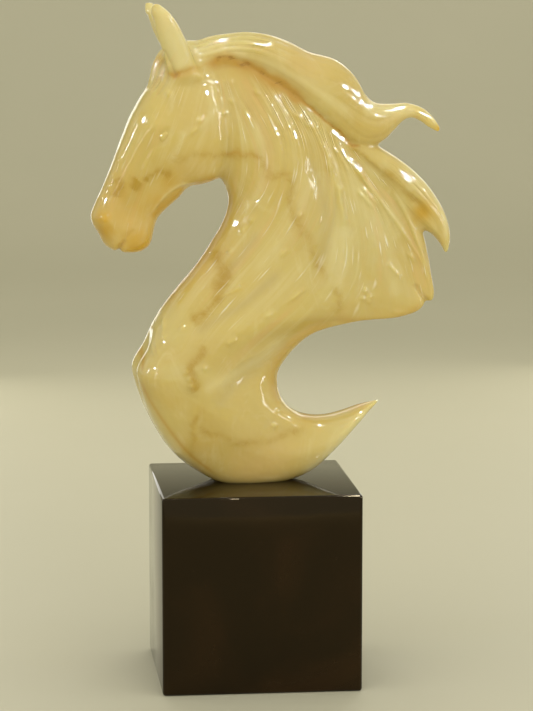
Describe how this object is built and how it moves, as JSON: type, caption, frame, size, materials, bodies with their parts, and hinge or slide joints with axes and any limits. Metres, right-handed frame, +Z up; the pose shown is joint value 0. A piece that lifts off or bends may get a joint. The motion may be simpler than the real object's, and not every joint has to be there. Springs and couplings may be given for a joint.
{
  "type": "horse sculpture",
  "caption": "Carved polished stone horse head and arched neck with a flying mane, on a dark polished cube plinth.",
  "frame": {"origin": "centre of the plinth's underside", "axes": "+Z up; the horse looks along -X, turned 3 degrees towards -Y, and its mane flies towards +X"},
  "size_m": [0.1835, 0.1, 0.3408],
  "materials": {
    "veined_stone": "polished",
    "dark_stone": "polished"
  },
  "bodies": {
    "root": {"horse": "veined_stone", "plinth": "dark_stone"}
  },
  "joints": []
}
